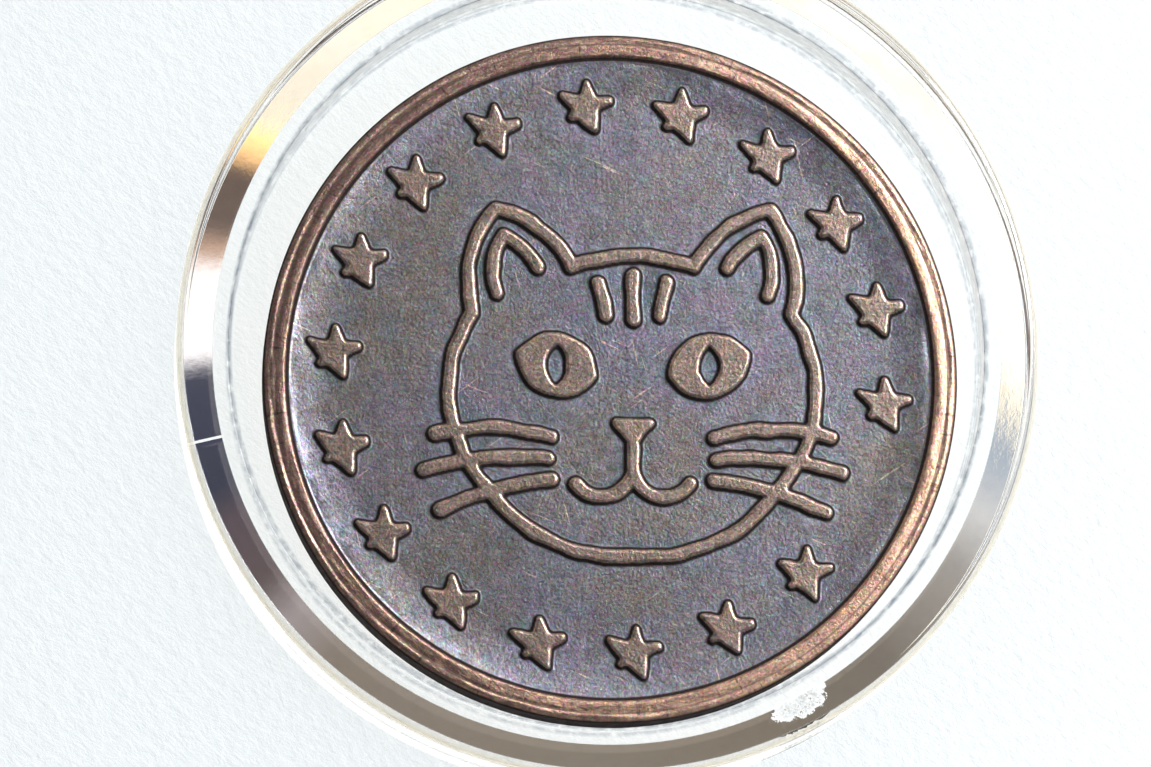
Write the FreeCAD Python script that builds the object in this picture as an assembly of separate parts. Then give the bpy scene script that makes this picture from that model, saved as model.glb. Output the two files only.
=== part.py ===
"""A struck copper token in its clear two-part capsule, in millimetres.

The capsule lies flat with its underside on Z = 0 and its axis on the Z axis. The token lies
obverse up on the capsule's floor. It is smaller than the well, and has slid most of the way
towards the wall on the -Y side. The capsule's base and lid are separate shells that meet in a
conical seat: the base's wall is a blunt cone, and the lid comes down over it.
"""

import FreeCAD
import Part
import math
import os

# ---------------------------------------------------------------- driving dimensions, mm
TOKEN_D = 25.0            # outside diameter of the token
TOKEN_T = 1.8             # thickness over the two rims
RIM_H = 0.30              # how far each rim stands above its field
RIM_FOOT_R = 11.55        # where the rim's inner slope meets the field
RIM_SLOPE = 0.22          # radial width of that slope
RIM_ROUND = 0.22          # rounding of the rim's outer corner
RIM_CREST_ROUND = 0.10    # rounding of the rim's inner corner
DISH_W = 1.3              # width of the band where the field slopes up to the rim
DISH_H = 0.09             # how far it rises

RELIEF_H = 0.22           # height of the raised design above the field
SINK = 0.05               # how far each raised solid reaches down into the blank
LINE_W = 0.44             # flat top width of a raised line
DRAFT = 0.09              # how much wider each side of a raised shape is at its foot

STAR_RING_R = 9.95        # centre circle of the border stars
STAR_PITCH = 20.0         # degrees from star to star
STAR_FIRST = 15.0         # degrees from +X to the first star
STAR_GAP = 16             # the one place in the ring that has no star
TIP_FROM = 0.7            # a star's corners further out than this are tips, the rest are hollows
TIP_ROUND = 0.10          # rounding of the tips
HOLLOW_ROUND = 0.13       # rounding of the hollows
BACK_STAR = 5.0           # size of the large star on the reverse, in border stars

HEAD_X, HEAD_Y = 0.8, -0.15   # centre of the animal head on the obverse
NOSE_ROUND = 0.16         # corner rounding of the nose

CAPSULE_D = 31.0          # outside diameter of both shells
CAPSULE_H = 4.7           # height of the closed capsule
WELL_D = 27.2             # inside diameter of the base's wall
WINDOW_T = 1.25           # thickness of the floor and of the lid's window
SEAT_TOP_R = 14.2         # radius of the seat at the top of the base's wall
SEAT_FOOT_R = 15.1        # radius of the seat at its foot
SEAT_ANGLE = 43.5         # degrees from the seat's slope to the horizontal
LAND_H = 0.25             # height of the upright land below the seat, which grips the lid
SLIDE_GAP = 0.04          # clearance between the two shells along seat and land
PARTING_GAP = 0.05        # gap between the flange and the lid's edge
WALL_TOP_GAP = 0.08       # gap between the base's wall and the lid's ceiling
OUTER_ROUND = 0.35        # rounding of the outer corners
EDGE_ROUND = 0.08         # small rounding of the other moulded corners
FLOAT = 0.02              # clearance under the token
TOKEN_SHIFT = 0.89        # how far the loose token lies from the middle of the well
TOKEN_SHIFT_ANGLE = -81.0   # which way it lies, degrees from +X

NOTCH_R = 2.0             # radius of the fingernail notch in the flange
NOTCH_DEPTH = 0.8         # how far it reaches in from the edge
NOTCH_H = 0.45            # its height
NOTCH_ANGLE = 298.0       # its place round the edge, degrees from +X

# ---------------------------------------------------------------- places worked out from them
TOKEN_R = TOKEN_D / 2
HALF_FIELD = TOKEN_T / 2 - RIM_H
CAPSULE_R = CAPSULE_D / 2
WELL_R = WELL_D / 2
TOKEN_X = TOKEN_SHIFT * math.cos(math.radians(TOKEN_SHIFT_ANGLE))
TOKEN_Y = TOKEN_SHIFT * math.sin(math.radians(TOKEN_SHIFT_ANGLE))
TOKEN_Z = WINDOW_T + FLOAT + TOKEN_T / 2
CEILING_Z = CAPSULE_H - WINDOW_T
WALL_TOP_Z = CEILING_Z - WALL_TOP_GAP
SEAT_RUN = SEAT_FOOT_R - SEAT_TOP_R
SEAT_RISE = SEAT_RUN * math.tan(math.radians(SEAT_ANGLE))
SEAT_FOOT_Z = WALL_TOP_Z - SEAT_RISE
FLANGE_Z = SEAT_FOOT_Z - LAND_H

UP = FreeCAD.Vector(0, 0, 1)
ORIGIN = FreeCAD.Vector(0, 0, 0)


# ---------------------------------------------------------------- outlines
def v(x, y, z=0.0):
    return FreeCAD.Vector(x, y, z)


def polar(radius, degrees):
    a = math.radians(degrees)
    return radius * math.cos(a), radius * math.sin(a)


def arc(p, through, q):
    return Part.Arc(v(*p), v(*through), v(*q)).toShape()


def rounded_wire(corners):
    """A closed wire through corners given as (x, y, rounding). A rounding of 0 stays sharp."""
    places = [v(x, y) for x, y, _ in corners]
    count = len(corners)
    cuts = []
    for i, (_, _, radius) in enumerate(corners):
        here = places[i]
        if not radius:
            cuts.append((here, None, here))
            continue
        back = (places[i - 1] - here).normalize()
        ahead = (places[(i + 1) % count] - here).normalize()
        half = back.getAngle(ahead) / 2
        reach = radius / math.tan(half)
        middle = (back + ahead).normalize() * (radius / math.sin(half) - radius)
        cuts.append((here + back * reach, here + middle, here + ahead * reach))
    edges = []
    for i, (start, middle, end) in enumerate(cuts):
        if middle is not None:
            edges.append(Part.Arc(start, middle, end).toShape())
        edges.append(Part.makeLine(end, cuts[(i + 1) % count][0]))
    return Part.Wire(edges)


def turned(corners):
    """The solid made by turning a profile, with corners (radius, height, rounding), about Z."""
    profile = rounded_wire(corners)
    profile.rotate(ORIGIN, v(1, 0, 0), 90)
    return Part.Face(profile).revolve(ORIGIN, UP, 360)


# ---------------------------------------------------------------- raised shapes
def between(foot_wire, top_wire):
    """A solid with the foot wire sunk below Z = 0 and the top wire at the relief's height."""
    foot = foot_wire.copy()
    top = top_wire.copy()
    foot.translate(v(0, 0, -SINK))
    top.translate(v(0, 0, RELIEF_H))
    return Part.makeLoft([foot, top], True, True)


def raised(outline):
    """A flat-topped raised shape with drafted sides. The outline is its top."""
    return between(outline.makeOffset2D(DRAFT), outline)


def raised_line(edges):
    """A raised line with round ends along a chain of edges."""
    path = Part.Wire(edges)
    return between(path.makeOffset2D(LINE_W / 2 + DRAFT), path.makeOffset2D(LINE_W / 2))


def raised_loop(edges):
    """A raised line along a closed chain of edges."""
    path = Part.Wire(edges)
    outside = between(path.makeOffset2D(LINE_W / 2 + DRAFT), path.makeOffset2D(LINE_W / 2))
    inside = between(path.makeOffset2D(-LINE_W / 2 - DRAFT), path.makeOffset2D(-LINE_W / 2))
    return outside.cut(inside)


def raised_dash(p, q):
    """A straight raised line with round ends."""
    start, end = v(*p), v(*q)
    ahead = (end - start).normalize() * (LINE_W / 2)
    across = v(-ahead.y, ahead.x)
    return raised(Part.Wire([
        Part.makeLine(start - across, end - across),
        Part.Arc(end - across, end + ahead, end + across).toShape(),
        Part.makeLine(end + across, start + across),
        Part.Arc(start + across, start - ahead, start - across).toShape(),
    ]))


# ---------------------------------------------------------------- the token's design
# The star is hand cut and uneven. Its corners are (degrees, radius), and the arm on +X is blunt.
STAR_CORNERS = [
    (4, 0.97), (19, 0.99), (45, 0.46), (90, 1.18), (122, 0.43), (155, 1.32),
    (202, 0.53), (217, 0.94), (238, 0.58), (290, 1.16), (339, 0.47),
]


def star(scale=1.0):
    corners = []
    for degrees, radius in STAR_CORNERS:
        rounding = TIP_ROUND if radius > TIP_FROM else HOLLOW_ROUND
        corners.append((*polar(radius * scale, degrees), rounding * scale))
    return raised(rounded_wire(corners))


def star_ring():
    """The border of stars, all standing the same way up, with one place left empty."""
    stars = []
    for place in range(round(360 / STAR_PITCH)):
        if place == STAR_GAP:
            continue
        x, y = polar(STAR_RING_R, STAR_FIRST + place * STAR_PITCH)
        one = star()
        one.translate(v(x, y))
        stars.append(one)
    return stars


def mirrored(points):
    return [(-x, y) for x, y in points]


def head_outline():
    """The outline of a front-facing cat's head: crown, two ears, cheeks and chin."""
    ear_in, ear_tip, ear_out = (2.2, 4.2), (4.95, 6.3), (5.75, 2.5)
    jaw, chin = (5.2, -3.9), (0.0, -6.3)
    half = [
        (ear_in, (3.4, 5.6), ear_tip),
        (ear_tip, (5.85, 4.5), ear_out),
        (ear_out, (6.6, -0.9), jaw),
        (jaw, (2.95, -5.8), chin),
    ]
    right = [arc(*three) for three in half]
    left = [arc(*mirrored(three)[::-1]) for three in reversed(half)]
    crown = arc((-ear_in[0], ear_in[1]), (0, 4.6), ear_in)
    return raised_loop([crown] + right + left)


def eye():
    """A raised almond eye with a slit pupil cut down to the field."""
    inner, outer = (1.3, 0.15), (4.2, 1.05)
    almond = Part.Wire([arc(inner, (2.6, 1.75), outer), arc(outer, (3.1, -0.5), inner)])
    top, foot = (2.75, 1.3), (2.75, -0.1)
    slit = Part.Wire([arc(foot, (2.4, 0.6), top), arc(top, (3.1, 0.6), foot)])
    pupil = Part.Face(slit).extrude(UP * (RELIEF_H * 2))
    return raised(almond).cut(pupil)


def side_strokes():
    """The raised lines on one side of the face, as chains of edges."""
    ear_tip = (4.65, 5.3)
    inner_ear = [arc((3.45, 4.15), (3.95, 4.85), ear_tip), arc(ear_tip, (5.05, 4.2), (4.9, 3.2))]
    whiskers = [
        [arc((2.9, -2.0), (5.1, -1.7), (7.15, -1.95))],
        [arc((3.05, -2.8), (5.4, -2.8), (7.55, -3.25))],
        [arc((2.9, -3.55), (5.0, -3.95), (6.95, -4.7))],
    ]
    return [inner_ear] + whiskers


def animal_head():
    """A plain cat's head in raised line, facing front."""
    right = [eye(), raised_dash((1.25, 3.65), (0.95, 2.4))]
    right += [raised_line(edges) for edges in side_strokes()]
    left = [one.mirror(ORIGIN, v(1, 0, 0)) for one in right]
    nose = rounded_wire([(-0.95, -1.35, NOSE_ROUND), (0, -2.4, NOSE_ROUND), (0.95, -1.35, NOSE_ROUND)])
    lip = (0, -3.3)
    mouth = [arc((-2.05, -3.7), (-1.0, -4.15), lip), arc(lip, (1.0, -4.15), (2.05, -3.7))]
    middle = [
        head_outline(),
        raised_dash((0, 3.85), (0, 2.25)),
        raised(nose),
        raised_dash((0, -2.35), lip),
        raised_line(mouth),
    ]
    pieces = middle + right + left
    for one in pieces:
        one.translate(v(HEAD_X, HEAD_Y))
    return pieces


def obverse():
    return star_ring() + animal_head()


def reverse():
    """The hidden side: the same border of stars round one large star."""
    return star_ring() + [star(BACK_STAR)]


# ---------------------------------------------------------------- the solids
def blank():
    """The token's disc with its two rims, with its centre at the origin."""
    upper = [
        (RIM_FOOT_R - DISH_W, HALF_FIELD, 0),
        (RIM_FOOT_R, HALF_FIELD + DISH_H, 0),
        (RIM_FOOT_R + RIM_SLOPE, TOKEN_T / 2, RIM_CREST_ROUND),
        (TOKEN_R, TOKEN_T / 2, RIM_ROUND),
    ]
    lower = [(radius, -z, rounding) for radius, z, rounding in reversed(upper)]
    return turned([(0, -HALF_FIELD, 0), (0, HALF_FIELD, 0)] + upper + lower)


def token():
    """The blank with both designs struck into it, lying off centre on the well's floor."""
    front, back = obverse(), reverse()
    for one in front + back:
        one.translate(UP * HALF_FIELD)
    for one in back:
        one.rotate(ORIGIN, v(0, 1, 0), 180)
    struck = blank().multiFuse(front + back)
    struck.translate(v(TOKEN_X, TOKEN_Y, TOKEN_Z))
    return struck


def notch():
    """The half-moon pocket in the flange that a fingernail goes into to lift the lid."""
    pocket = Part.makeCylinder(NOTCH_R, NOTCH_H)
    pocket.translate(v(CAPSULE_R + NOTCH_R - NOTCH_DEPTH, 0, FLANGE_Z - NOTCH_H))
    pocket.rotate(ORIGIN, UP, NOTCH_ANGLE)
    return pocket


def capsule_base():
    """The lower shell: floor, flange, and the wall round the token with the seat on its outside."""
    shell = turned([
        (0, 0, 0),
        (CAPSULE_R, 0, OUTER_ROUND),
        (CAPSULE_R, FLANGE_Z, EDGE_ROUND),
        (SEAT_FOOT_R, FLANGE_Z, 0),
        (SEAT_FOOT_R, SEAT_FOOT_Z, EDGE_ROUND),
        (SEAT_TOP_R, WALL_TOP_Z, EDGE_ROUND),
        (WELL_R, WALL_TOP_Z, EDGE_ROUND),
        (WELL_R, WINDOW_T, EDGE_ROUND),
        (0, WINDOW_T, 0),
    ])
    return shell.cut(notch())


def capsule_lid():
    """The upper shell: a window, and the edge that comes down over the base's seat and land."""
    seat_gap = SLIDE_GAP * math.hypot(SEAT_RUN, SEAT_RISE) / SEAT_RISE
    ceiling_r = SEAT_TOP_R + seat_gap - WALL_TOP_GAP * SEAT_RUN / SEAT_RISE
    land_r = SEAT_FOOT_R + SLIDE_GAP
    land_z = SEAT_FOOT_Z + (seat_gap - SLIDE_GAP) * SEAT_RISE / SEAT_RUN
    edge_z = FLANGE_Z + PARTING_GAP
    return turned([
        (0, CEILING_Z, 0),
        (ceiling_r, CEILING_Z, EDGE_ROUND),
        (land_r, land_z, EDGE_ROUND),
        (land_r, edge_z, EDGE_ROUND),
        (CAPSULE_R, edge_z, EDGE_ROUND),
        (CAPSULE_R, CAPSULE_H, OUTER_ROUND),
        (0, CAPSULE_H, 0),
    ])


def main():
    os.makedirs("parts", exist_ok=True)
    nodes = {"token": token, "capsule_base": capsule_base, "capsule_lid": capsule_lid}
    for name, make in nodes.items():
        shape = make()
        print(name, "solids", len(shape.Solids), "valid", shape.isValid(), "mm3", round(shape.Volume, 2))
        shape.exportStep(os.path.join("parts", name + ".step"))


main()
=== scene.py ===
"""The looks of a struck copper token lying in its clear two-part capsule, in metres."""

import bpy
import math
import numpy as np
from mathutils import Matrix, Vector
from mathutils.bvhtree import BVHTree
from mathutils.geometry import delaunay_2d_cdt


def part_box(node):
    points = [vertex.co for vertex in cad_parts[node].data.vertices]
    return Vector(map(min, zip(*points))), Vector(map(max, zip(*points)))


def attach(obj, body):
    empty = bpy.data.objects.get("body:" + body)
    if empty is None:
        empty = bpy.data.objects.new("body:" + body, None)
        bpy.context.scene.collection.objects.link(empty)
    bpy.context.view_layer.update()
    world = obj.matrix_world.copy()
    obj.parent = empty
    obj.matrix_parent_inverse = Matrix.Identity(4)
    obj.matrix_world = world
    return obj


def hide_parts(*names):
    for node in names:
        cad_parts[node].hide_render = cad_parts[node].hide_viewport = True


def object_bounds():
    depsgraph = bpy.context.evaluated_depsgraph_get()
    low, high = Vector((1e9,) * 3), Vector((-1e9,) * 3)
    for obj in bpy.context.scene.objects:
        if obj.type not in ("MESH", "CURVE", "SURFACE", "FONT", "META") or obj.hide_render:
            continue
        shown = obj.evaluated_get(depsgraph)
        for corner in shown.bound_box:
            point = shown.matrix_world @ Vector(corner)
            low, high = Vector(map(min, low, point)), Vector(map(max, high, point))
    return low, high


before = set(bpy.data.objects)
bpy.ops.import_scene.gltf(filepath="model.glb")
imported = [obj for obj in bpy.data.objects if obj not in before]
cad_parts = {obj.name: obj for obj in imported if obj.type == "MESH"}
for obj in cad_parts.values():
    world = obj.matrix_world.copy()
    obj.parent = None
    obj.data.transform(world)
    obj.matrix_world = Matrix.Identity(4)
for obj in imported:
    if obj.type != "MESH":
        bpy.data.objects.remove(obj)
cad_low, cad_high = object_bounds()

# ---------------------------------------------------------------- sizes and places, from the frame
MM = 0.001

token_low, token_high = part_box("token")
base_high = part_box("capsule_base")[1]
lid_low, lid_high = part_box("capsule_lid")

TOKEN_AT = (token_low + token_high) / 2
TOKEN_R = (token_high.x - token_low.x) / 2
TOKEN_HALF = (token_high.z - token_low.z) / 2

FLOAT = 0.02 * MM                          # clearance under the token
CAPSULE_R = base_high.x
CAPSULE_TOP = lid_high.z
WALL_TOP = base_high.z
LID_EDGE = lid_low.z
FLANGE = LID_EDGE - 0.05 * MM
FLOOR = token_low.z - FLOAT
CEILING = WALL_TOP + 0.08 * MM
WELL_R = CAPSULE_R - 1.9 * MM
SEAT_TOP_R = WELL_R + 0.6 * MM
SEAT_FOOT_R = CAPSULE_R - 0.4 * MM
LAND_TOP = FLANGE + 0.25 * MM
SLIDE_GAP = 0.04 * MM                      # clearance between the lid and the base's seat and land
OUTER_ROUND = 0.35 * MM
EDGE_ROUND = 0.08 * MM
SHELL_STEPS = 480                          # segments round a shell
NOTCH_ANGLE = math.radians(298)
NOTCH_R = 2.0 * MM
NOTCH_DEPTH = 0.8 * MM
NOTCH_H = 0.45 * MM

# ---------------------------------------------------------------- the struck token
FACE_R = TOKEN_R - 1.05 * MM               # inside this the relief is read from the CAD
RIM_STEPS = 480                            # segments round the rim
RIM_TURNS = np.arange(RIM_STEPS) * math.tau / RIM_STEPS
READ_PITCH = 0.04 * MM                     # spacing of the grid on which the relief is read
FRONT_PITCH = 0.05 * MM                    # spacing of the mesh beside the relief, on the obverse
BACK_PITCH = 0.09 * MM                     # and on the reverse
SOFTEN = 0.030 * MM                        # rounding that the strike leaves on the relief
CREASE = 0.070 * MM                        # reach of the dark crease, tarnish with painted shade, and of the worn edge
BLOOM = 0.30 * MM                          # reach of the tarnish that gathers beside the relief
HAND_CUT = 0.022 * MM                      # how far the die's outlines stray from the drawn ones
HAND_CUT_CELLS = 6                         # length of each stray, in cells of the reading grid
UNEVEN = 0.004 * MM                        # how far the struck surface waves up and down
UNEVEN_CELLS = 20                          # length of its longer waves, in the same cells
LIP_WIDTH = 0.60 * MM                      # the field sweeps up over this width to meet the rim
LIP_RISE = 0.02 * MM
FOOT_CUT = 0.07                            # share of the relief cut off below, for a sharp foot
DENT = 0.020 * MM                          # depth of the dents in the rim's worn corners
DENT_LENGTH = 1.5                          # in segments of the rim
RIPPLE = 0.012 * MM                        # height of the ripples along the rim
RIPPLE_LENGTH = 3.0                        # in segments of the rim
HOLLOW_DARK = 4                            # how strongly what lies below its surroundings is darkened, as tarnish with painted shade
SLOPE_DARK = 1.3                           # and how strongly the steep foot of the relief is, as painted shade on its walls
EDGE_WORN = 5                              # how strongly what stands above them looks worn
NEAR_BLOOM = 3                             # how strongly the tarnish gathers towards the relief
BUSY_SWING = 0.02                          # a finer mesh follows swings over this share of the relief
# (how many pitches apart the mesh's points are, where it's busier than this)
MESH_STEPS = ((1, 0.30), (2, 0.05), (4, 0.005), (8, -1.0))
SIDE_LOOK = (0.2, 0.84, 0.0)               # how raised, how dark and how worn the token's side looks; its darkness is painted shade with tarnish
SEED = 7


def blurred(field, sigma):
    """A square field of numbers, smoothed by a bell curve of that many cells."""
    reach = int(math.ceil(3 * sigma))
    weights = np.exp(-0.5 * (np.arange(-reach, reach + 1) / sigma) ** 2)
    weights /= weights.sum()
    for _ in range(2):
        padded = np.pad(field, ((reach, reach), (0, 0)), mode="edge")
        field = sum(w * padded[i:i + len(field)] for i, w in enumerate(weights)).T
    return field


def smooth_noise(draw, size, cells):
    """A square field of random swells about that many cells wide, of unit strength."""
    field = blurred(draw.normal(0, 1, (size, size)), cells)
    return field / field.std()


def sampled(field, pitch, x, y):
    """The field's values at points given in metres from its middle, by straight interpolation."""
    half = (len(field) - 1) / 2
    column = np.clip(x / pitch + half, 0, len(field) - 1.001)
    row = np.clip(y / pitch + half, 0, len(field) - 1.001)
    c, r = column.astype(int), row.astype(int)
    u, v = column - c, row - r
    low = field[r, c] * (1 - u) + field[r, c + 1] * u
    high = field[r + 1, c] * (1 - u) + field[r + 1, c + 1] * u
    return low * (1 - v) + high * v


def read_heights(tree, side):
    """The CAD token's face on a square grid, as heights above its middle. Side 1 is the obverse."""
    half = int(FACE_R / READ_PITCH) + 2
    line = np.arange(-half, half + 1) * READ_PITCH
    heights = np.full((len(line), len(line)), np.nan)
    inwards = Vector((0, 0, -side))
    far = TOKEN_AT.z + side * 2 * TOKEN_HALF
    for row, y in enumerate(line):
        for column, x in enumerate(line):
            if x * x + y * y < FACE_R ** 2:
                hit = tree.ray_cast(Vector((TOKEN_AT.x + x, TOKEN_AT.y + y, far)), inwards)[0]
                heights[row, column] = side * (hit.z - TOKEN_AT.z)
    x, y = np.meshgrid(line, line)
    at_edge = np.hypot(x, y) > FACE_R - 4 * READ_PITCH
    heights[np.isnan(heights)] = np.nanmedian(heights[at_edge])
    return heights


def field_under(heights):
    """The height of the bare field under the relief, which depends on the radius alone."""
    half = (len(heights) - 1) // 2
    line = np.arange(-half, half + 1)
    radius = np.rint(np.hypot(*np.meshgrid(line, line))).astype(int)
    lowest = np.full(radius.max() + 1, np.inf)
    np.minimum.at(lowest, radius.ravel(), heights.ravel())
    return lowest[radius]


def struck_relief(sharp, draw):
    """The relief as a worn strike leaves it: outlines cut by hand, soft on top and sharp at the foot."""
    size = len(sharp)
    soft = blurred(sharp, SOFTEN / READ_PITCH)
    line = (np.arange(size) - (size - 1) / 2) * READ_PITCH
    x, y = np.meshgrid(line, line)
    across, along = (HAND_CUT * smooth_noise(draw, size, HAND_CUT_CELLS) for _ in range(2))
    soft = sampled(soft, READ_PITCH, x + across, y + along)
    return np.maximum(soft - FOOT_CUT * sharp.max(), 0) / (1 - FOOT_CUT)


def face_points(busy, pitch):
    """Grid points over the face: every one where it is busy, and fewer and fewer away from there."""
    count = int(FACE_R / pitch)
    i, j = np.meshgrid(np.arange(-count, count + 1), np.arange(-count, count + 1))
    i, j = i.ravel(), j.ravel()
    inside = np.hypot(i, j) * pitch < FACE_R - pitch * 0.6
    i, j = i[inside], j[inside]
    how_busy = sampled(busy, READ_PITCH, i * pitch, j * pitch)
    keep = np.zeros(len(i), bool)
    for step, least in MESH_STEPS:
        keep |= (i % step == 0) & (j % step == 0) & (how_busy > least)
    return np.column_stack((i[keep], j[keep])) * pitch


def joined_up(points):
    """Triangles that join flat points into one sheet."""
    found = delaunay_2d_cdt([Vector(p / MM) for p in points], [], [], 0, 1e-5)
    order = [sources[0] for sources in found[3]]
    return [[order[k] for k in three] for three in found[2]]


def struck_face(tree, side, pitch, draw):
    """One face of the token inside its rim: points, triangles, and how it looks at each point."""
    heights = read_heights(tree, side)
    field = field_under(heights)
    relief = (heights - field).max()
    soft = struck_relief(heights - field, draw)
    near = blurred(soft, BLOOM / READ_PITCH) / relief
    swing = (soft - blurred(soft, CREASE / READ_PITCH)) / relief
    foot = np.hypot(*np.gradient(soft, READ_PITCH)) * (1 - soft / relief)
    busy = blurred((np.abs(swing) > BUSY_SWING).astype(float), 2.5)
    broad_swell = smooth_noise(draw, len(soft), UNEVEN_CELLS)
    swell = UNEVEN * (broad_swell + 0.4 * smooth_noise(draw, len(soft), UNEVEN_CELLS / 4))

    ring = np.column_stack((np.cos(RIM_TURNS), np.sin(RIM_TURNS))) * FACE_R
    points = np.vstack((ring, face_points(busy, pitch)))
    x, y = points.T
    lip = np.clip((np.hypot(x, y) - FACE_R + LIP_WIDTH) / LIP_WIDTH, 0, 1)
    surface = blurred(field, SOFTEN / READ_PITCH) + soft + swell
    z = sampled(surface, READ_PITCH, x, y) + LIP_RISE * lip ** 2
    z[:RIM_STEPS] = np.median(z[:RIM_STEPS])
    looks = {                              # each is kept between 0 and 1
        "raised": soft / relief,
        # darkness in hollows and on the relief's steep foot: tarnish with painted shade
        "crease_grime_and_shade": np.maximum(-HOLLOW_DARK * swing, SLOPE_DARK * foot),
        "worn": EDGE_WORN * swing,
        "near": NEAR_BLOOM * near,
    }
    looks = {name: np.clip(sampled(look, READ_PITCH, x, y), 0, 1) for name, look in looks.items()}
    return np.column_stack((x, y, side * z)), joined_up(points), looks


def rim_profile(face_z):
    """Half of the rim's section, from the face out to the middle of the side: places and looks."""
    # (mm in from the side, share of the way up, and how raised, how dark and how worn it looks; the
    # darkness is tarnish with painted shade)
    rows = [
        (1.00, 0.02, 0.0, 0.0, 0.0),       # foot, where the field ends
        (0.95, 0.06, 0.0, 0.3, 0.0),
        (0.90, 0.14, 0.1, 1.0, 0.0),
        (0.86, 0.30, 0.4, 1.0, 0.0),
        (0.82, 0.54, 0.8, 0.8, 0.0),
        (0.79, 0.78, 1.0, 0.3, 0.0),
        (0.76, 0.93, 1.0, 0.1, 0.1),
        (0.71, 0.99, 1.0, 0.1, 0.1),       # inner crest
        (0.65, 1.00, 1.0, 0.3, 0.0),
        (0.57, 0.985, 1.0, 0.2, 0.0),
        (0.48, 0.95, 1.0, 0.0, 0.0),
        (0.40, 0.90, 1.0, 0.1, 0.0),
        (0.36, 0.86, 1.0, 0.55, 0.0),      # groove
        (0.32, 0.85, 1.0, 0.55, 0.0),
        (0.28, 0.90, 1.0, 0.1, 0.2),
        (0.23, 0.94, 1.0, 0.0, 0.4),       # bead
        (0.18, 0.93, 1.0, 0.0, 0.2),
        (0.12, 0.86, 1.0, 0.3, 0.0),
        (0.06, 0.72, 1.0, 0.7, 0.0),
        (0.02, 0.54, 0.8, 1.0, 0.0),
        (0.00, 0.32, 0.5, 0.84, 0.0),
        (0.00, 0.00, *SIDE_LOOK),
    ]
    rise = TOKEN_HALF - face_z
    profile = [(TOKEN_R - inset * MM, face_z + share * rise, *look) for inset, share, *look in rows]
    return profile + [(TOKEN_R, face_z / 2, *SIDE_LOOK)]


def swells(draw, cells):
    """Random ups and downs round the rim, about as long as the given number of its segments."""
    reach = int(4 * cells)
    weights = np.exp(-0.5 * (np.arange(-reach, reach + 1) / cells) ** 2)
    knots = draw.normal(0, 1, RIM_STEPS)
    smooth = sum(w * np.roll(knots, k - reach) for k, w in enumerate(weights))
    return smooth / smooth.std()


def rim_points(rows, draw):
    """The rim's rows turned round the token, a little rippled and with dents in the worn corners."""
    radius, height, worn = rows[:, 0, None], rows[:, 1, None], rows[:, 4, None]
    dents = -np.abs(swells(draw, DENT_LENGTH))[None, :] * worn * DENT
    ripples = np.array([swells(draw, RIPPLE_LENGTH) for _ in rows])
    ripples = (np.roll(ripples, 1, axis=0) + 2 * ripples + np.roll(ripples, -1, axis=0)) / 4
    radius = np.minimum(radius + dents, TOKEN_R)
    height = height + np.sign(height) * (dents + ripples * RIPPLE)
    height = np.clip(height, -TOKEN_HALF, TOKEN_HALF)
    places = np.stack((radius * np.cos(RIM_TURNS), radius * np.sin(RIM_TURNS), height), -1)
    return places.reshape(-1, 3)


def band(inner, outer):
    """Four-sided faces between two rings of points."""
    return [(inner[k - 1], outer[k - 1], outer[k], inner[k]) for k in range(len(inner))]


def make_token():
    """The token as one closed mesh: two struck faces joined by the rim and the side."""
    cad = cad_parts["token"].data
    corners = [v.co for v in cad.vertices]
    tree = BVHTree.FromPolygons(corners, [list(p.vertices) for p in cad.polygons])
    draw = np.random.default_rng(SEED)
    obverse, front, looks = struck_face(tree, 1, FRONT_PITCH, draw)
    reverse, back, back_looks = struck_face(tree, -1, BACK_PITCH, draw)

    upper = rim_profile(obverse[0, 2])
    lower = [(radius, -z, *look) for radius, z, *look in reversed(rim_profile(-reverse[0, 2]))]
    rows = np.array(upper + lower)
    rim = rim_points(rows, draw)

    under = len(obverse) + len(rim)
    starts = [0, *range(len(obverse), under, RIM_STEPS), under]
    rings = [range(start, start + RIM_STEPS) for start in starts]
    faces = list(front)
    for inner, outer in zip(rings, rings[1:]):
        faces += band(inner, outer)
    faces += [[under + k for k in reversed(three)] for three in back]

    token = make_mesh("token_struck", np.vstack((obverse, rim, reverse)), faces)
    token.location = TOKEN_AT
    rim_looks = dict(zip(("raised", "crease_grime_and_shade", "worn"), rows.T[2:]), near=np.zeros(len(rows)))
    for name, values in rim_looks.items():
        everywhere = np.concatenate((looks[name], np.repeat(values, RIM_STEPS), back_looks[name]))
        layer = token.data.attributes.new(name, "FLOAT", "POINT")
        layer.data.foreach_set("value", everywhere.astype(np.float32))
    return token


def make_mesh(name, points, faces):
    """A smooth-shaded piece in the scene, made of these points and faces."""
    mesh = bpy.data.meshes.new(name)
    mesh.from_pydata([tuple(p) for p in points], [], faces)
    mesh.update()
    mesh.shade_smooth()
    thing = bpy.data.objects.new(name, mesh)
    bpy.context.scene.collection.objects.link(thing)
    return thing


# ---------------------------------------------------------------- the two clear shells
ARC_STEPS = 10                             # faces round a rounded corner
SUPPORT = 0.012 * MM                       # strip that keeps the flat beside a rounded corner flat


def unit(vector):
    return vector / np.linalg.norm(vector)


def rounded_corner(here, back, ahead, rounding):
    """Points round a corner, between the directions back and ahead from it."""
    half = math.acos(np.clip(back @ ahead, -1, 1)) / 2
    reach = rounding / math.tan(half)
    centre = here + unit(back + ahead) * rounding / math.sin(half)
    first = here + back * reach - centre
    last = here + ahead * reach - centre
    sweep = math.pi - 2 * half
    points = [here + back * (reach + SUPPORT)]
    for step in range(ARC_STEPS + 1):
        turned = step / ARC_STEPS * sweep
        spoke = math.sin(sweep - turned) * first + math.sin(turned) * last
        points.append(centre + spoke / math.sin(sweep))
    return points + [here + ahead * (reach + SUPPORT)]


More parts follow.
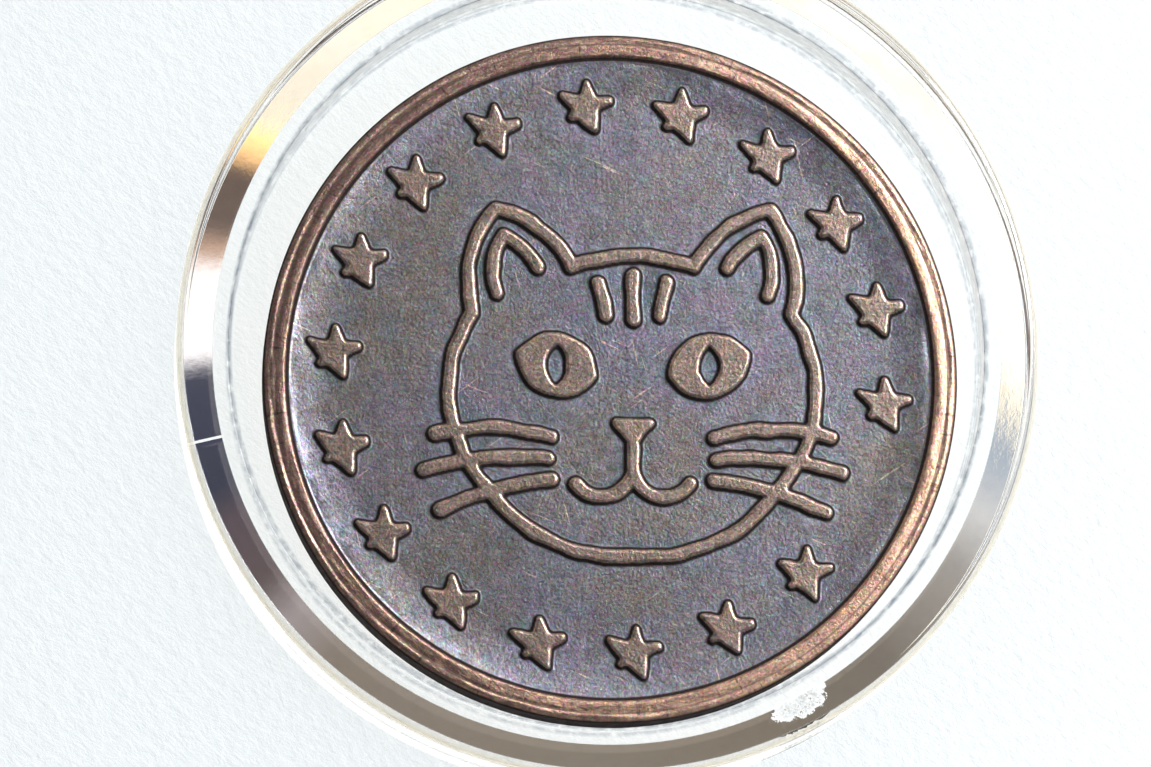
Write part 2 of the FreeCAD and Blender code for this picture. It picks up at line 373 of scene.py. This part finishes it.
def rounded(corners):
    """Points along a profile of (radius, height, rounding) corners, with each rounded."""
    places = [np.array(corner[:2]) for corner in corners]
    points = [places[0]]
    for before, here, after, corner in zip(places, places[1:], places[2:], corners[1:]):
        back, ahead = unit(before - here), unit(after - here)
        if corner[2]:
            points += rounded_corner(here, back, ahead, corner[2])
        else:
            points += [here + back * SUPPORT, here, here + ahead * SUPPORT]
    return points + [places[-1]]


def notch_depth(radius, height, turn):
    """How far the fingernail notch pulls a point of the flange's edge inwards."""
    on_edge = FLANGE - NOTCH_H - SUPPORT / 2 < height < FLANGE + SUPPORT
    aside = CAPSULE_R * abs((turn - NOTCH_ANGLE + math.pi) % math.tau - math.pi)
    if not on_edge or radius < CAPSULE_R - NOTCH_DEPTH or aside >= NOTCH_R:
        return 0.0
    inner = CAPSULE_R + NOTCH_R - NOTCH_DEPTH - math.sqrt(NOTCH_R ** 2 - aside ** 2)
    return max(radius - inner, 0.0)


def no_pull(_radius, _height, _turn):
    return 0.0


def lathe(name, profile, pull=no_pull):
    """A closed solid turned from a profile that starts and ends on the axis."""
    first, *middle, last = profile
    points = [(0, 0, first[1])]
    for radius, height in middle:
        for step in range(SHELL_STEPS):
            turn = step * math.tau / SHELL_STEPS
            out = radius - pull(radius, height, turn)
            points.append((out * math.cos(turn), out * math.sin(turn), height))
    points.append((0, 0, last[1]))
    faces = []
    end = len(points) - 1
    final = 1 + (len(middle) - 1) * SHELL_STEPS
    for step in range(SHELL_STEPS):
        after = (step + 1) % SHELL_STEPS
        faces.append((0, 1 + after, 1 + step))
        faces.append((end, final + step, final + after))
        for a in range(1, final, SHELL_STEPS):
            b = a + SHELL_STEPS
            faces.append((a + step, a + after, b + after, b + step))
    return make_mesh(name, points, faces)


def make_base():
    """The lower shell: floor, flange with its notch, and the wall with the seat outside."""
    profile = rounded([
        (0, 0, 0),
        (CAPSULE_R, 0, OUTER_ROUND),
        (CAPSULE_R, FLANGE - NOTCH_H, 0),
        (CAPSULE_R, FLANGE, EDGE_ROUND),
        (SEAT_FOOT_R, FLANGE, 0),
        (SEAT_FOOT_R, LAND_TOP, EDGE_ROUND),
        (SEAT_TOP_R, WALL_TOP, EDGE_ROUND),
        (WELL_R, WALL_TOP, EDGE_ROUND),
        (WELL_R, FLOOR, EDGE_ROUND),
        (0, FLOOR, 0),
    ])
    return lathe("capsule_base_shell", profile, notch_depth)


def make_lid():
    """The upper shell: a window, and the edge that comes down over the base's seat and land."""
    run, rise = SEAT_FOOT_R - SEAT_TOP_R, WALL_TOP - LAND_TOP
    seat_gap = SLIDE_GAP * math.hypot(run, rise) / rise
    ceiling_r = SEAT_TOP_R + seat_gap - (CEILING - WALL_TOP) * run / rise
    land_r = SEAT_FOOT_R + SLIDE_GAP
    land_z = LAND_TOP + (seat_gap - SLIDE_GAP) * rise / run
    profile = rounded([
        (0, CEILING, 0),
        (ceiling_r, CEILING, EDGE_ROUND),
        (land_r, land_z, EDGE_ROUND),
        (land_r, LID_EDGE, EDGE_ROUND),
        (CAPSULE_R, LID_EDGE, EDGE_ROUND),
        (CAPSULE_R, CAPSULE_TOP, OUTER_ROUND),
        (0, CAPSULE_TOP, 0),
    ])
    return lathe("capsule_lid_shell", profile)


# ---------------------------------------------------------------- shader helpers
def add(tree, kind, inputs=(), **settings):
    """A new shader node, with its inputs set to values or joined to sockets."""
    made = tree.nodes.new("ShaderNode" + kind)
    for name, value in settings.items():
        setattr(made, name, value)
    for name, value in dict(inputs).items():
        if isinstance(value, bpy.types.NodeSocket):
            tree.links.new(value, made.inputs[name])
        else:
            made.inputs[name].default_value = value
    return made


def maths(tree, operation, a, b=0.0, clamp=False):
    return add(tree, "Math", {0: a, 1: b}, operation=operation, use_clamp=clamp).outputs[0]


def product(tree, a, b):
    return maths(tree, "MULTIPLY", a, b)


def total(tree, a, b):
    return maths(tree, "ADD", a, b)


def larger(tree, a, b):
    return maths(tree, "MAXIMUM", a, b)


def vectors(tree, operation, a, b=(0, 0, 0)):
    return add(tree, "VectorMath", {0: a, 1: b}, operation=operation).outputs


def mixed(tree, share, a, b, blend="MIX"):
    """Colour a where share is 0 and colour b where it is 1."""
    made = add(tree, "Mix", {0: share, 6: a, 7: b}, data_type="RGBA", blend_type=blend)
    return made.outputs[2]


def layered(tree, colour, layers):
    """The colour with more laid over it in turn: (where, how much of it shows there, its colour)."""
    for where, share, tint in layers:
        colour = mixed(tree, product(tree, where, share), colour, tint)
    return colour


def stretched(tree, value, low, high):
    """The value rescaled so that low becomes 0 and high becomes 1, and kept between them."""
    inputs = {"Value": value, "From Min": low, "From Max": high}
    return add(tree, "MapRange", inputs, clamp=True).outputs[0]


def random_texture(tree, at, scale, detail, roughness, distortion=0.0):
    inputs = {"Vector": at, "Scale": scale, "Detail": detail}
    return add(tree, "TexNoise", {**inputs, "Roughness": roughness, "Distortion": distortion}).outputs


def noise(tree, at, scale, detail=2.0, roughness=0.5, distortion=0.0):
    """Random ups and downs about 0.5, with scale of them to a millimetre."""
    return random_texture(tree, at, scale, detail, roughness, distortion)["Fac"]


def clouds(tree, at, scale, between, detail=3.0, roughness=0.5, distortion=0.0):
    """Random patches: 0 where the noise is under the first of two values, and 1 over the second."""
    return stretched(tree, noise(tree, at, scale, detail, roughness, distortion), *between)


def grey(value):
    return (value, value, value, 1)


def new_material(name):
    made = bpy.data.materials.new(name)
    made.use_nodes = True
    made.node_tree.nodes.clear()
    return made, made.node_tree


def join_output(tree, surface):
    tree.links.new(surface, add(tree, "OutputMaterial").inputs["Surface"])


def in_mm(tree):
    """Places on the piece in millimetres, which stay with it when it moves."""
    at = add(tree, "TexCoord").outputs["Object"]
    return add(tree, "VectorMath", {0: at, "Scale": 1 / MM}, operation="SCALE").outputs[0]


def attribute(tree, name):
    return add(tree, "Attribute", attribute_name=name).outputs["Fac"]


def scaled(tree, at, x, y, z, turn=0.0):
    """Places turned round the upright axis and then stretched."""
    inputs = {"Vector": at, "Angle": turn}
    turned = add(tree, "VectorRotate", inputs, rotation_type="Z_AXIS").outputs[0]
    return vectors(tree, "MULTIPLY", turned, (x, y, z))[0]


def towards_side(tree, at, side):
    """How far each place lies along a vector, times the vector's length."""
    return vectors(tree, "DOT_PRODUCT", at, side)["Value"]


def distance_out(tree, at):
    """How far each place is from the upright axis."""
    return vectors(tree, "LENGTH", scaled(tree, at, 1, 1, 0))["Value"]


def wrapped_round(tree, at, along, across):
    """Places for a pattern round the axis: so many features per radian, and per mm outwards."""
    heading = vectors(tree, "NORMALIZE", scaled(tree, at, 1, 1, 0))[0]
    outwards = add(tree, "CombineXYZ", {"Z": product(tree, distance_out(tree, at), across)}).outputs[0]
    return vectors(tree, "ADD", scaled(tree, heading, along, along, 0), outwards)[0]


def bumped(tree, height, depth, strength=1.0):
    """Directions for a surface that looks rough, to the given depth in metres."""
    return add(tree, "Bump", {"Height": height, "Strength": strength, "Distance": depth}).outputs[0]


# ---------------------------------------------------------------- colours, and places in millimetres
SLATE = (0.168, 0.156, 0.155, 1)
VIOLET = (0.220, 0.168, 0.220, 1)
BROWN = (0.195, 0.158, 0.130, 1)
STEEL_BLUE = (0.135, 0.172, 0.225, 1)
VERDIGRIS = (0.070, 0.115, 0.110, 1)
PALE_BLOOM = (0.330, 0.340, 0.400, 1)
BLUE_BLOOM = (0.250, 0.262, 0.345, 1)
# black for tarnish with painted shade in creases and on the side, and for the rim's nicks
GRIME_AND_SHADE_BLACK = (0.020, 0.012, 0.010, 1)
WORN_TAN = (0.232, 0.180, 0.145, 1)
WORN_PINK = (0.270, 0.186, 0.155, 1)
BARE_COPPER = (0.80, 0.57, 0.44, 1)
# the rim's lighter and darker copper, mixed by streaks and by painted light towards one side
RIM_COPPER = (0.52, 0.31, 0.22, 1)
RIM_BROWN = (0.21, 0.125, 0.10, 1)
BASE_TINT = (0.97, 0.985, 0.985, 1)
LID_TINT = (0.975, 0.99, 0.985, 1)
YELLOWED = (0.70, 0.62, 0.46, 1)
GRIME_AND_SHADE_TINT = (0.42, 0.45, 0.50, 1)
PAPER_HOLLOWS = (0.83, 0.875, 0.865, 1)
PAPER_TOPS = (0.885, 0.92, 0.91, 1)
# painted light and reflection for rays that the plastic bends or mirrors: the paper's warm colour far
# off, and its glow
WARM_REFLECTED_PAPER = (0.95, 0.86, 0.70, 1)
PAPER_GLOW = (1.0, 0.98, 0.95, 1)
WARM_GLOW = (1.3, 1.1, 0.75, 1)

BROWN_SIDE = (-0.009, -0.004, 0)           # the tarnish turns brown towards this side
RIM_PAINTED_LIGHT_SIDE = (0.012, -0.004, 0)       # and the rim's copper is painted lighter towards this one, as painted light
RIM_FOOT = FACE_R / MM
OUTER = CAPSULE_R / MM
TOP = CAPSULE_TOP / MM
WELL = WELL_R / MM
SEAT_TOP = SEAT_TOP_R / MM
SEAT_FOOT = SEAT_FOOT_R / MM
COPPER_ROUGHNESS = 0.31
COPPER_BUMPS = 0.008 * MM                  # depth of the fine grain in the copper, in metres
SMEAR_BUMPS = 0.0016 * MM                  # of the smears on the seat
PAPER_BUMPS = 0.07 * MM                    # and of the paper's grain
CLEAR_IOR = 1.60
LET_OUT = 4.5                              # a ray is let out after this many turns in the plastic
KNIT_ANGLE = math.radians(193.5)           # where the moulding's knit line shows
KNIT_REACH = 0.05                          # how far from its middle the line fades out
GATE_OUT = 14.4                            # how far out the rough gate mark is, beside the notch
GATE_REACH = 1.7                           # how far from its middle the mark fades out
UNDER_GLOW = 0.28                          # the paper's glow under the capsule, for bent rays
MIRRORED_GLOW = 0.36                       # and anywhere, for mirrored rays


# ---------------------------------------------------------------- copper
def scratches(tree, at):
    """A few fine straight scratches in three directions, as a mask."""
    found = 0.0
    for turn in (0.4, 1.3, 2.5):
        drawn_out = scaled(tree, at, 0.45, 9.0, 1.0, turn)
        found = larger(tree, clouds(tree, drawn_out, 1.0, (0.76, 0.79), detail=1.0), found)
    return found


def patina(tree, at, near):
    """The field's tarnish: slate, violet, brown and blue, with blooms beside the relief and the rim."""
    shift = total(tree, towards_side(tree, at, BROWN_SIDE), noise(tree, at, 0.13))
    turned = scaled(tree, at, 1, 1, 1, 1.1)
    by_rim = stretched(tree, distance_out(tree, at), RIM_FOOT - 0.75, RIM_FOOT - 0.05)
    violet = clouds(tree, at, 0.55, (0.36, 0.64), detail=5.0, roughness=0.65, distortion=0.5)
    brown = stretched(tree, shift, 0.42, 0.60)
    blue = clouds(tree, turned, 1.1, (0.44, 0.66), detail=6.0, roughness=0.7)
    flecks = clouds(tree, at, 4.5, (0.50, 0.70), roughness=0.7)
    halo = product(tree, near, clouds(tree, at, 1.3, (0.36, 0.60), detail=4.0, roughness=0.7))
    green = product(tree, near, clouds(tree, at, 0.9, (0.46, 0.64), roughness=0.6))
    spots = clouds(tree, at, 0.95, (0.68, 0.74), roughness=0.6, distortion=1.2)
    rim_bloom = product(tree, by_rim, clouds(tree, at, 3.0, (0.35, 0.60), roughness=0.7))
    return layered(tree, SLATE, [
        (violet, 1.0, VIOLET),
        (brown, 0.85, BROWN),
        (blue, 0.45, STEEL_BLUE),
        (flecks, 0.30, PALE_BLOOM),
        (halo, 0.50, BLUE_BLOOM),
        (green, 0.60, VERDIGRIS),
        (spots, 0.70, VERDIGRIS),
        (rim_bloom, 0.40, PALE_BLOOM),
        (scratches(tree, at), 0.50, BARE_COPPER),
    ])


def streaked_rim(tree, at, streaks):
    """The rim's copper, in brown and bright streaks along it and painted lighter towards one side as
    painted light, with a few dark nicks across.
    """
    polish_and_light = total(tree, streaks, towards_side(tree, at, RIM_PAINTED_LIGHT_SIDE))
    nicks = clouds(tree, wrapped_round(tree, at, 70.0, 1.0), 1.0, (0.64, 0.70), detail=2.0)
    copper = mixed(tree, stretched(tree, polish_and_light, 0.42, 0.62), RIM_BROWN, RIM_COPPER)
    return layered(tree, copper, [(nicks, 0.6, GRIME_AND_SHADE_BLACK)])


def speckled(tree, at, colour, grit):
    """The colour with fine grains over it, darker, lighter and of every hue."""
    shade = mixed(tree, stretched(tree, grit, 0.65, 1.35), grey(0.62), grey(1.38))
    colour = mixed(tree, 1.0, colour, shade, "MULTIPLY")
    hues = random_texture(tree, at, 8.0, detail=3.0, roughness=0.8)["Color"]
    stronger = {0: hues, 1: (2.1, 2.1, 2.1), 2: (-0.05, -0.05, -0.05)}
    hues = add(tree, "VectorMath", stronger, operation="MULTIPLY_ADD").outputs[0]
    return mixed(tree, 1.0, colour, hues, "MULTIPLY")


def token_metal():
    """Copper gone dark and mottled in the field and rubbed back to tan on what stands up, with tarnish
    and painted shade blackening the creases and the side.
    """
    material, tree = new_material("token_copper")
    at = in_mm(tree)
    raised, crease_grime_and_shade, worn, near = [attribute(tree, name) for name in ("raised", "crease_grime_and_shade", "worn", "near")]
    mottle = noise(tree, at, 2.6, detail=5.0, roughness=0.7)
    grain = noise(tree, at, 10.0, detail=4.0, roughness=0.65)
    grit = total(tree, mottle, grain)
    streaks = noise(tree, wrapped_round(tree, at, 30.0, 8.0), 1.0, detail=5.0, roughness=0.7)
    on_rim = stretched(tree, distance_out(tree, at), RIM_FOOT + 0.05, RIM_FOOT + 0.25)
    stands_up = stretched(tree, raised, 0.35, 0.95)
    # painted shade with tarnish: black, and without metal sheen, in creases, at the relief's foot and on
    # the side
    grime_and_shade = stretched(tree, crease_grime_and_shade, 0.22, 0.85)
    clean_and_unshaded = maths(tree, "SUBTRACT", 1.0, grime_and_shade)

    tan = mixed(tree, stretched(tree, mottle, 0.35, 0.65), WORN_TAN, WORN_PINK)
    rubbed = layered(tree, tan, [
        (on_rim, 1.0, streaked_rim(tree, at, streaks)),
        (product(tree, worn, stretched(tree, grit, 0.75, 1.15)), 0.75, BARE_COPPER),
        (clouds(tree, at, 15.0, (0.58, 0.72), detail=2.0, roughness=0.8), 0.30, BARE_COPPER),
    ])
    colour = layered(tree, patina(tree, at, near), [
        (stands_up, 1.0, rubbed),
        (grime_and_shade, 0.97, GRIME_AND_SHADE_BLACK),
    ])

    roughness = total(tree, product(tree, grain, 0.10), COPPER_ROUGHNESS)
    roughness = total(tree, roughness, product(tree, worn, -0.05))
    roughness = total(tree, roughness, product(tree, grime_and_shade, 0.4))
    bumps = total(tree, product(tree, mottle, 1.8), product(tree, grain, 1.9))
    bumps = total(tree, bumps, product(tree, product(tree, streaks, 1.5), on_rim))
    surface = add(tree, "BsdfPrincipled", {
        "Base Color": speckled(tree, at, colour, grit),
        "Metallic": product(tree, clean_and_unshaded, 0.97),
        "Roughness": roughness,
        "Specular IOR Level": product(tree, clean_and_unshaded, 0.5),
        "Normal": bumped(tree, bumps, COPPER_BUMPS),
    })
    join_output(tree, surface.outputs[0])
    return material


# ---------------------------------------------------------------- clear plastic
def stained(tree, at, tint, smears, on_seat):
    """The plastic's tint: yellowed at its outer edge, grimy on the seat, and grimy and darkened with
    painted shade in the well's corner.
    """
    radius = distance_out(tree, at)
    height = add(tree, "SeparateXYZ", {0: at}).outputs["Z"]
    outside = stretched(tree, radius, OUTER - 0.30, OUTER - 0.14)
    off_wall = maths(tree, "ABSOLUTE", maths(tree, "SUBTRACT", radius, WELL))
    in_corner = stretched(tree, off_wall, 0.12, 0.02)
    clear = mixed(tree, noise(tree, at, 0.4, detail=3.0), tint, grey(1.0))
    return layered(tree, clear, [
        (outside, 0.4, YELLOWED),
        (product(tree, outside, stretched(tree, height, TOP - 0.35, TOP - 0.25)), 1.0, YELLOWED),
        (product(tree, on_seat, stretched(tree, smears, 0.48, 0.62)), 0.15, GRIME_AND_SHADE_TINT),
        # grime with painted shade in the well's corner
        (product(tree, in_corner, stretched(tree, smears, 0.35, 0.55)), 0.9, GRIME_AND_SHADE_TINT),
        (clouds(tree, at, 1.9, (0.79, 0.82), detail=2.0), 1.0, grey(0.25)),
    ])


def moulding_marks(tree, at, smears):
    """Where moulding left the plastic frosted: a knit line, and the crazed stub of the gate."""
    turned = scaled(tree, at, 1, 1, 0, -KNIT_ANGLE)
    beside = add(tree, "SeparateXYZ", {0: turned}).outputs
    knit = stretched(tree, maths(tree, "ABSOLUTE", beside["Y"]), KNIT_REACH, 0.01)
    knit = product(tree, knit, maths(tree, "GREATER_THAN", beside["X"], 0.0))
    from_gate = vectors(tree, "ADD", scaled(tree, at, 1, 1, 0, -NOTCH_ANGLE), (-GATE_OUT, 0, 0))[0]
    from_gate = vectors(tree, "LENGTH", scaled(tree, from_gate, 2, 1, 0))["Value"]
    ragged = total(tree, from_gate, product(tree, smears, 1.2))
    gate = stretched(tree, ragged, GATE_REACH, GATE_REACH - 0.4)
    crazed = clouds(tree, at, 6.0, (0.38, 0.62), detail=4.0, roughness=0.8)
    return larger(tree, product(tree, knit, 0.3), product(tree, gate, crazed))


def lets_straight_through(tree):
    """1 for the rays that the plastic doesn't bend: lamps', soft ones and those caught inside it."""
    path = add(tree, "LightPath").outputs
    blurry = maths(tree, "SUBTRACT", path["Is Glossy Ray"], path["Is Singular Ray"], clamp=True)
    lamp = larger(tree, path["Is Shadow Ray"], path["Is Diffuse Ray"])
    trapped = maths(tree, "GREATER_THAN", path["Ray Depth"], LET_OUT)
    return larger(tree, larger(tree, lamp, blurry), trapped)


def clear_acrylic(name, tint):
    """Clear plastic with stains and moulding marks, smeared on the seat. Lamps' light passes through."""
    material, tree = new_material(name)
    at = in_mm(tree)
    radius = distance_out(tree, at)
    smears = noise(tree, at, 2.4, detail=4.0, roughness=0.7)
    edge = stretched(tree, radius, SEAT_TOP - 0.05, SEAT_TOP + 0.02)
    on_seat = product(tree, edge, stretched(tree, radius, SEAT_FOOT + 0.04, SEAT_FOOT))
    frosted = product(tree, moulding_marks(tree, at, smears), edge)
    colour = stained(tree, at, tint, smears, on_seat)
    clear = add(tree, "BsdfPrincipled", {
        "Base Color": mixed(tree, frosted, colour, grey(0.30)),
        "Roughness": product(tree, frosted, 0.20),
        "IOR": CLEAR_IOR,
        "Transmission Weight": 1.0,
        "Normal": bumped(tree, smears, SMEAR_BUMPS, on_seat),
    }).outputs[0]
    nothing = add(tree, "BsdfTransparent", {"Color": grey(1.0)}).outputs[0]
    share = lets_straight_through(tree)
    join_output(tree, add(tree, "MixShader", {0: share, 1: clear, 2: nothing}).outputs[0])
    return material


# ---------------------------------------------------------------- paper
def paper():
    """Pale paper with a fine grain. Rays that the plastic bends or mirrors find it glowing a little, as
    painted light, and far off warmer, as a painted warm reflection.
    """
    material, tree = new_material("paper")
    at = in_mm(tree)
    radius = distance_out(tree, at)
    grain = noise(tree, scaled(tree, at, 1.0, 1.6, 1.0, 0.7), 1.6, detail=5.0, roughness=0.75)
    colour = mixed(tree, stretched(tree, grain, 0.3, 0.7), PAPER_HOLLOWS, PAPER_TOPS)
    # painted light: the paper glows for bent and mirrored rays, and far off turns warm for mirrored ones
    # as a painted reflection
    path = add(tree, "LightPath").outputs
    through = maths(tree, "SUBTRACT", 1.0, path["Is Camera Ray"])
    under = product(tree, through, stretched(tree, radius, OUTER + 2, OUTER + 1))
    mirrored = maths(tree, "GREATER_THAN", path["Glossy Depth"], 0.5)
    far_off = stretched(tree, radius, OUTER + 4, OUTER + 8)
    cloudy = clouds(tree, at, 0.12, (0.30, 0.55), detail=2.0)
    warm_reflection = product(tree, product(tree, mirrored, far_off), cloudy)
    surface = add(tree, "BsdfPrincipled", {
        "Base Color": mixed(tree, warm_reflection, colour, WARM_REFLECTED_PAPER),
        "Roughness": 0.9,
        "Normal": bumped(tree, grain, PAPER_BUMPS),
        "Emission Color": mixed(tree, warm_reflection, PAPER_GLOW, WARM_GLOW),
        "Emission Strength": larger(
            tree, product(tree, under, UNDER_GLOW), product(tree, mirrored, MIRRORED_GLOW)),
    })
    join_output(tree, surface.outputs[0])
    return material


# ---------------------------------------------------------------- build the pieces
def dress(piece, material, body, node):
    """The piece with its looks, on its body, in place of a CAD node."""
    piece.data.materials.append(material)
    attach(piece, body)
    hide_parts(node)


token = make_token()
base, lid = make_base(), make_lid()
dress(token, token_metal(), "token", "token")
dress(base, clear_acrylic("clear_base", BASE_TINT), "base", "capsule_base")
dress(lid, clear_acrylic("clear_lid", LID_TINT), "lid", "capsule_lid")


# ---------------------------------------------------------------- stage, light and camera
KEY_TURN = 30                              # degrees from +X to the main lamp
KEY_HEIGHT = 48                            # degrees above the paper
STUDIO_SHADOW = (0.16, 0.16, 0.18, 1)
STUDIO_LIGHT = (0.62, 0.68, 0.80, 1)
BACKDROP = (0.66, 0.69, 0.71, 1)
HORIZON = [                                # (degrees from +X, colour low in the studio)
    (-180, (0.07, 0.075, 0.12)),           # dark blue side
    (-167, (0.06, 0.065, 0.10)),
    (-162, (0.13, 0.10, 0.12)),
    (-151, (0.15, 0.115, 0.12)),
    (-144, (0.42, 0.37, 0.38)),
    (-134, (0.30, 0.25, 0.21)),            # brown side
    (-90, (0.29, 0.25, 0.21)),
    (-58, (0.26, 0.22, 0.18)),
    (-40, (0.24, 0.21, 0.18)),
    (-22, (0.45, 0.42, 0.40)),
    (-14, (0.80, 0.80, 0.82)),
    (-5, (0.50, 0.58, 0.70)),
    (4, (0.60, 0.68, 0.80)),
    (14, (1.15, 1.1, 1.1)),                # bright side, warmer round to the left
    (60, (1.0, 0.92, 0.85)),
    (100, (1.15, 0.98, 0.80)),
    (137, (1.4, 1.2, 0.85)),
    (139, (1.6, 1.3, 0.55)),
    (142, (1.4, 0.85, 0.40)),              # orange edge of a dark post
    (145, (0.18, 0.13, 0.11)),
    (153, (0.20, 0.15, 0.13)),
    (157, (0.75, 0.50, 0.38)),
    (160, (1.4, 1.3, 1.3)),                # white side
    (172, (1.4, 1.35, 1.4)),
    (175, (0.09, 0.095, 0.14)),
    (180, (0.07, 0.075, 0.12)),
]


def make_floor():
    """A wide flat sheet of paper just under the capsule."""
    size = 3.0
    corners = [(-size, -size, 0), (size, -size, 0), (size, size, 0), (-size, size, 0)]
    sheet = make_mesh("floor", corners, [(0, 1, 2, 3)])
    sheet.location.z = cad_low.z - 0.01 * MM
    sheet.data.materials.append(paper())
    return sheet


def horizon_colour(tree, heading):
    """The studio's colour near the horizon, for headings from 0 at -180 degrees to 1 at 180."""
    ramp = add(tree, "ValToRGB", {0: heading})
    elements = ramp.color_ramp.elements
    while len(elements) < len(HORIZON):
        elements.new(0.5)
    for element, (degrees, colour) in zip(elements, HORIZON):
        element.position = (degrees + 180) / 360
        element.color = (*colour, 1)
    return ramp.outputs[0]


def make_world():
    """A pale studio, dark overhead where the camera is. Only reflections see its other colours."""
    world = bpy.data.worlds.new("studio")
    bpy.context.scene.world = world
    world.use_nodes = True
    tree = world.node_tree
    tree.nodes.clear()
    towards = add(tree, "TexCoord").outputs["Generated"]
    split = add(tree, "SeparateXYZ", {0: towards}).outputs
    heading = maths(tree, "ARCTAN2", split["Y"], split["X"])
    heading = stretched(tree, heading, -math.pi, math.pi)
    lit = towards_side(tree, towards, direction(KEY_TURN, 0))
    upper = mixed(tree, stretched(tree, lit, -0.5, 0.7), STUDIO_SHADOW, STUDIO_LIGHT)
    sky = mixed(tree, stretched(tree, split["Z"], 0.27, 0.42), horizon_colour(tree, heading), upper)
    sky = mixed(tree, stretched(tree, split["Z"], 0.82, 0.95), sky, grey(0.05))
    seen = add(tree, "LightPath").outputs["Is Camera Ray"]
    colour = mixed(tree, seen, sky, BACKDROP)
    light = add(tree, "Background", {"Color": colour, "Strength": 1.0}).outputs[0]
    tree.links.new(light, add(tree, "OutputWorld").inputs["Surface"])


def direction(turn, height):
    """The way to what is turn degrees round from +X and height degrees up."""
    a, e = math.radians(turn), math.radians(height)
    return Vector((math.cos(a) * math.cos(e), math.sin(a) * math.cos(e), math.sin(e)))


def aim(towards, up=(0, 0, 1)):
    """The turn that points a lamp's or camera's -Z along a direction, with its top on the side of up."""
    ahead = Vector(towards).normalized()
    right = ahead.cross(Vector(up)).normalized()
    top = right.cross(ahead)
    return Matrix((right, top, -ahead)).transposed().to_4x4()


def make_lamp(name, turn, height, distance, size, power):
    """A square soft lamp that faces the object, turn degrees round from +X and height degrees up."""
    data = bpy.data.lights.new(name, "AREA")
    data.shape = "SQUARE"
    data.size = size
    data.energy = power
    lamp = bpy.data.objects.new(name, data)
    away = direction(turn, height)
    lamp.matrix_world = Matrix.Translation(away * distance) @ aim(-away)
    lamp.visible_camera = False
    bpy.context.scene.collection.objects.link(lamp)
    return lamp


def make_sun(name, turn, height, strength):
    """An even light from far away."""
    data = bpy.data.lights.new(name, "SUN")
    data.energy = strength
    sun = bpy.data.objects.new(name, data)
    sun.matrix_world = aim(-direction(turn, height))
    bpy.context.scene.collection.objects.link(sun)
    return sun


def light_only(lamp, *things):
    """The lamp lights these things and nothing else."""
    chosen = bpy.data.collections.new(lamp.name + "_lights")
    for thing in things:
        chosen.objects.link(thing)
    lamp.light_linking.receiver_collection = chosen


def make_camera():
    """A long lens above the obverse, tipped towards the low left edge."""
    data = bpy.data.cameras.new("camera")
    camera = bpy.data.objects.new("camera", data)
    bpy.context.scene.collection.objects.link(camera)
    distance = 0.30
    width_seen = 41.4 * MM
    tipped, tipped_to = 9.2, 248           # degrees off the upright, and the heading from +X
    data.sensor_width = 36
    data.lens = data.sensor_width * distance / width_seen
    data.clip_start = 0.01
    data.clip_end = 10
    target = TOKEN_AT + Vector((-1.25 * MM, -0.18 * MM, TOKEN_HALF))
    away = direction(tipped_to, 90 - tipped)
    camera.matrix_world = Matrix.Translation(target + away * distance) @ aim(-away, up=(0, 1, 0))
    bpy.context.scene.camera = camera


floor = make_floor()
make_world()
key = make_lamp("key", KEY_TURN, KEY_HEIGHT, distance=0.22, size=0.08, power=0.76)
key.data.color = (0.95, 0.98, 1.0)
light_only(key, token, base, lid)
glow = make_lamp("glow", turn=0, height=45, distance=0.16, size=0.14, power=0.16)
wash = make_sun("paper_wash", turn=20, height=60, strength=1.65)
for lamp in (glow, wash):
    lamp.data.use_shadow = False
    light_only(lamp, floor)
make_camera()
bpy.context.scene.view_settings.view_transform = "Standard"
